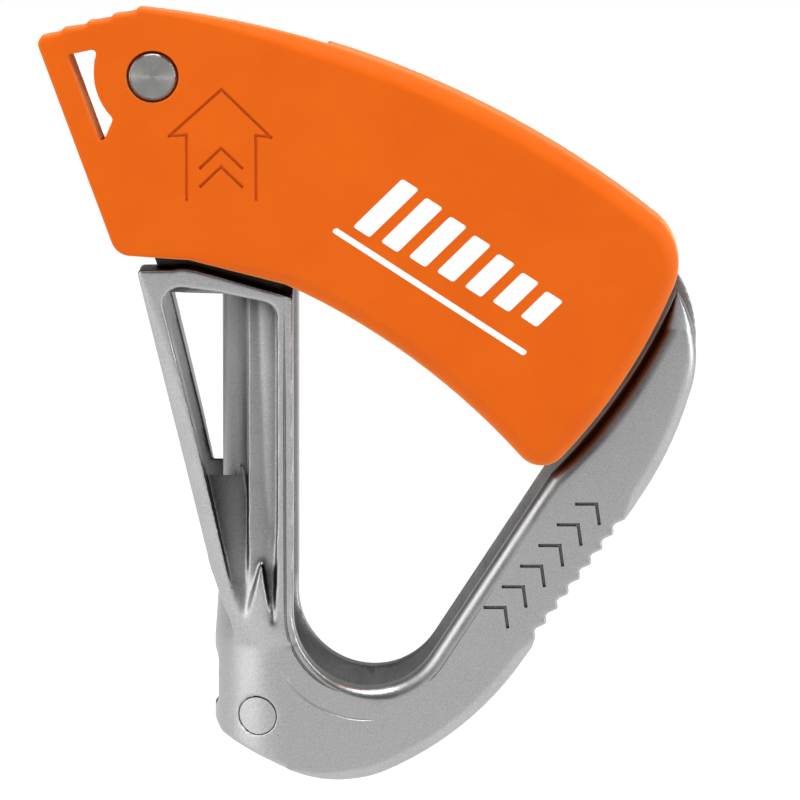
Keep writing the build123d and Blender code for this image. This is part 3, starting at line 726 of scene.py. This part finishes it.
def grained(name, dark, light, metallic, rough, grain, grain_mm, patch_mm, bump_mm):
    """A material with fine grain, broad colour patches and bump; sizes in mm."""
    mat, nodes, links, shader = material(name, light, metallic, rough[0])
    coords = object_coords(nodes)
    fine = noise(nodes, links, coords, 1 / (grain_mm * MM), 3.0, 0.6)
    broad = noise(nodes, links, coords, 1 / (patch_mm * MM), 3.0, 0.5)
    mixed = nodes.new("ShaderNodeMath")
    mixed.operation = "MULTIPLY_ADD"
    links.new(fine, mixed.inputs[0])
    mixed.inputs[1].default_value = grain
    offset = nodes.new("ShaderNodeMath")
    offset.operation = "MULTIPLY"
    links.new(broad, offset.inputs[0])
    offset.inputs[1].default_value = 1 - grain
    links.new(offset.outputs[0], mixed.inputs[2])
    links.new(tint(nodes, links, spread(nodes, links, mixed.outputs[0], 0, 1), dark, light),
              shader.inputs["Base Color"])
    links.new(spread(nodes, links, broad, rough[0], rough[1]), shader.inputs["Roughness"])
    bump(nodes, links, shader, fine, 1.0, bump_mm * MM)
    return mat, nodes, links, shader


def painted_corner_shade(mat):
    """Painted shade: the base colour is darkened by ambient occlusion, so deep corners and recesses of the
    cast part look shaded.
    """
    nodes = mat.node_tree.nodes
    links = mat.node_tree.links
    shader = nodes["Principled BSDF"]
    before = shader.inputs["Base Color"].links[0].from_socket
    # painted shade: ambient occlusion within 8 mm darkens the base colour
    hollow = nodes.new("ShaderNodeAmbientOcclusion")
    hollow.samples = 6
    socket(hollow, "Distance", 8 * MM)
    depth = nodes.new("ShaderNodeMapRange")
    socket(depth, "From Min", 0.5)
    socket(depth, "From Max", 0.93)
    socket(depth, "To Min", 0.06)
    socket(depth, "To Max", 1.0)
    links.new(hollow.outputs["AO"], depth.inputs["Value"])
    shade = nodes.new("ShaderNodeMix")
    shade.data_type = "RGBA"
    shade.blend_type = "MULTIPLY"
    socket(shade, "Factor", 1.0)
    links.new(before, shade.inputs[6])
    links.new(depth.outputs["Result"], shade.inputs[7])
    links.new(shade.outputs[2], shader.inputs["Base Color"])


def make_materials():
    cast, _, _, _ = grained("cast_satin", (0.325, 0.323, 0.323), (0.45, 0.448, 0.448), 1.0, (0.32, 0.4),
                            0.8, 0.16, 4.0, 0.012)
    # painted shade in the frame's corners and recesses, from ambient occlusion
    painted_corner_shade(cast)
    nylon, _, _, shader = grained("orange_moulded", (0.645, 0.097, 0.0004), (0.69, 0.11, 0.0006), 0.0,
                                  (0.5, 0.58), 0.35, 0.25, 7.0, 0.006)
    socket(shader, "Specular IOR Level", 0.12)
    socket(shader, "Sheen Weight", 0.7)
    socket(shader, "Sheen Roughness", 0.4)
    socket(shader, "Sheen Tint", (1.0, 0.72, 0.3, 1))
    stainless, _, _, _ = grained("stainless_pressed", (0.38, 0.37, 0.36), (0.5, 0.49, 0.47), 1.0,
                                 (0.24, 0.34), 0.6, 0.3, 3.0, 0.004)
    steel, _, _, _ = grained("steel_pin", (0.42, 0.42, 0.42), (0.55, 0.55, 0.545), 1.0, (0.34, 0.44),
                             0.7, 0.2, 2.0, 0.005)
    screw, _, _, _ = grained("steel_screw", (0.4, 0.4, 0.39), (0.5, 0.5, 0.49), 1.0, (0.25, 0.35),
                             0.6, 0.25, 1.5, 0.004)
    wire, _, _, _ = grained("spring_wire", (0.3, 0.3, 0.31), (0.42, 0.42, 0.43), 1.0, (0.25, 0.35),
                            0.6, 0.15, 1.0, 0.003)
    bush, _, _, _ = grained("bush_black", (0.02, 0.02, 0.02), (0.035, 0.035, 0.036), 0.0, (0.4, 0.5),
                            0.6, 0.2, 1.5, 0.004)
    ink, _, _, _ = grained("print_white", (0.86, 0.86, 0.87), (0.92, 0.92, 0.93), 0.0, (0.4, 0.5),
                           0.5, 0.2, 5.0, 0.003)
    return {"cast": cast, "nylon": nylon, "stainless": stainless, "steel": steel, "screw": screw,
            "wire": wire, "bush": bush, "ink": ink, "rivet": rivet_material()}


def rivet_material():
    """Turned steel: fine rings about the pivot."""
    mat, nodes, links, shader = material("steel_turned", (0.56, 0.55, 0.54), 1.0, 0.2)
    coords = object_coords(nodes)
    place = nodes.new("ShaderNodeVectorMath")
    place.operation = "SUBTRACT"
    links.new(coords, place.inputs[0])
    place.inputs[1].default_value = tuple(PIVOT * MM)
    rings = nodes.new("ShaderNodeTexWave")
    rings.wave_type = "RINGS"
    rings.rings_direction = "Y"
    socket(rings, "Scale", 2500.0)
    socket(rings, "Distortion", 0.6)
    socket(rings, "Detail", 2.0)
    links.new(place.outputs[0], rings.inputs["Vector"])
    fine = noise(nodes, links, coords, 1 / (0.15 * MM))
    links.new(spread(nodes, links, fine, 0.18, 0.26), shader.inputs["Roughness"])
    links.new(tint(nodes, links, spread(nodes, links, fine, 0, 1), (0.27, 0.266, 0.262), (0.36, 0.355, 0.35)),
              shader.inputs["Base Color"])
    socket(shader, "Anisotropic", 0.95)
    socket(shader, "Anisotropic Rotation", 0.25)
    tangent = nodes.new("ShaderNodeTangent")
    tangent.direction_type = "RADIAL"
    tangent.axis = "Y"
    links.new(tangent.outputs[0], shader.inputs["Tangent"])
    bump(nodes, links, shader, rings.outputs["Fac"], 1.0, 0.012 * MM)
    return mat


def put(obj, mat):
    """Gives the object one material."""
    obj.data.materials.clear()
    obj.data.materials.append(mat)


# ---------------------------------------------------------------- light, floor and camera
def area_light(name, place, size, power):
    """A soft rectangular light that points at the part."""
    data = bpy.data.lights.new(name, "AREA")
    data.shape = "RECTANGLE"
    data.size = size[0]
    data.size_y = size[1]
    data.energy = power
    lamp = bpy.data.objects.new(name, data)
    bpy.context.scene.collection.objects.link(lamp)
    lamp.location = place
    lamp.rotation_euler = (Vector(LIGHT_AIM) - Vector(place)).to_track_quat("-Z", "Y").to_euler()


def studio():
    """World light that is dimmer at the sides and the front, three area lights, and the floor."""
    world = bpy.data.worlds.new("studio")
    bpy.context.scene.world = world
    world.use_nodes = True
    nodes = world.node_tree.nodes
    links = world.node_tree.links
    sky = nodes["Background"]
    socket(sky, "Strength", 0.3)
    split = nodes.new("ShaderNodeSeparateXYZ")
    links.new(nodes.new("ShaderNodeTexCoord").outputs["Generated"], split.inputs[0])
    sideways = nodes.new("ShaderNodeMath")
    sideways.operation = "ABSOLUTE"
    links.new(split.outputs["X"], sideways.inputs[0])
    front = nodes.new("ShaderNodeMath")
    front.operation = "MULTIPLY"
    links.new(split.outputs["Y"], front.inputs[0])
    front.inputs[1].default_value = -1.0
    either = nodes.new("ShaderNodeMath")
    either.operation = "MAXIMUM"
    links.new(sideways.outputs[0], either.inputs[0])
    links.new(front.outputs[0], either.inputs[1])
    dim = nodes.new("ShaderNodeMapRange")
    socket(dim, "From Min", 0.6)
    socket(dim, "From Max", 0.95)
    links.new(either.outputs[0], dim.inputs["Value"])
    links.new(tint(nodes, links, dim.outputs["Result"], (1, 1, 1), (0.15, 0.15, 0.15)), sky.inputs["Color"])
    for name, place, size, power in LIGHTS:
        area_light(name, place, size, power)
    bpy.ops.mesh.primitive_plane_add(size=12, location=(0, 0, FLOOR_Z))
    floor = bpy.context.object
    floor.name = "floor"
    mat, nodes, links, shader = material("pale_floor", (0.3, 0.3, 0.3), 0.0, 0.9)
    socket(shader, "Specular IOR Level", 0.1)
    soft = noise(nodes, links, object_coords(nodes), 3.0)
    links.new(tint(nodes, links, soft, (0.28, 0.28, 0.28), (0.32, 0.32, 0.32)), shader.inputs["Base Color"])
    socket(shader, "Emission Color", (1, 1, 1, 1))
    socket(shader, "Emission Strength", 0.88)
    put(floor, mat)
    bpy.context.scene.view_settings.view_transform = "Standard"


def camera():
    """The catalogue view, from 1 m away."""
    target = Vector(CAMERA_TARGET)
    azimuth = math.radians(CAMERA_AZIMUTH)
    elevation = math.radians(CAMERA_ELEVATION)
    ahead = Vector((-math.sin(azimuth) * math.cos(elevation), math.cos(azimuth) * math.cos(elevation),
                    -math.sin(elevation)))
    data = bpy.data.cameras.new("camera")
    data.sensor_width = 36.0
    data.lens = data.sensor_width / VIEW_WIDTH
    data.clip_start = 0.05
    data.clip_end = 20.0
    eye = bpy.data.objects.new("camera", data)
    bpy.context.scene.collection.objects.link(eye)
    eye.location = target - ahead
    eye.rotation_euler = ahead.to_track_quat("-Z", "Y").to_euler()
    bpy.context.scene.camera = eye


# ---------------------------------------------------------------- everything
mats = make_materials()
put(build_frame(), mats["cast"])
put(build_cover(), mats["nylon"])
put(build_print(), mats["ink"])
put(build_spring(), mats["wire"])
finishes = {"gate_block": "nylon", "toothed_insert": "stainless", "insert_pins": "cast", "stop_pin": "steel",
            "spring_post": "steel", "pivot_rivet": "rivet", "rivet_washer": "screw", "spacer_tube": "screw",
            "slide_washer": "bush", "pivot_bush": "bush", "block_screws": "screw"}
for node, finish in finishes.items():
    put(NODES[node], mats[finish])
studio()
camera()
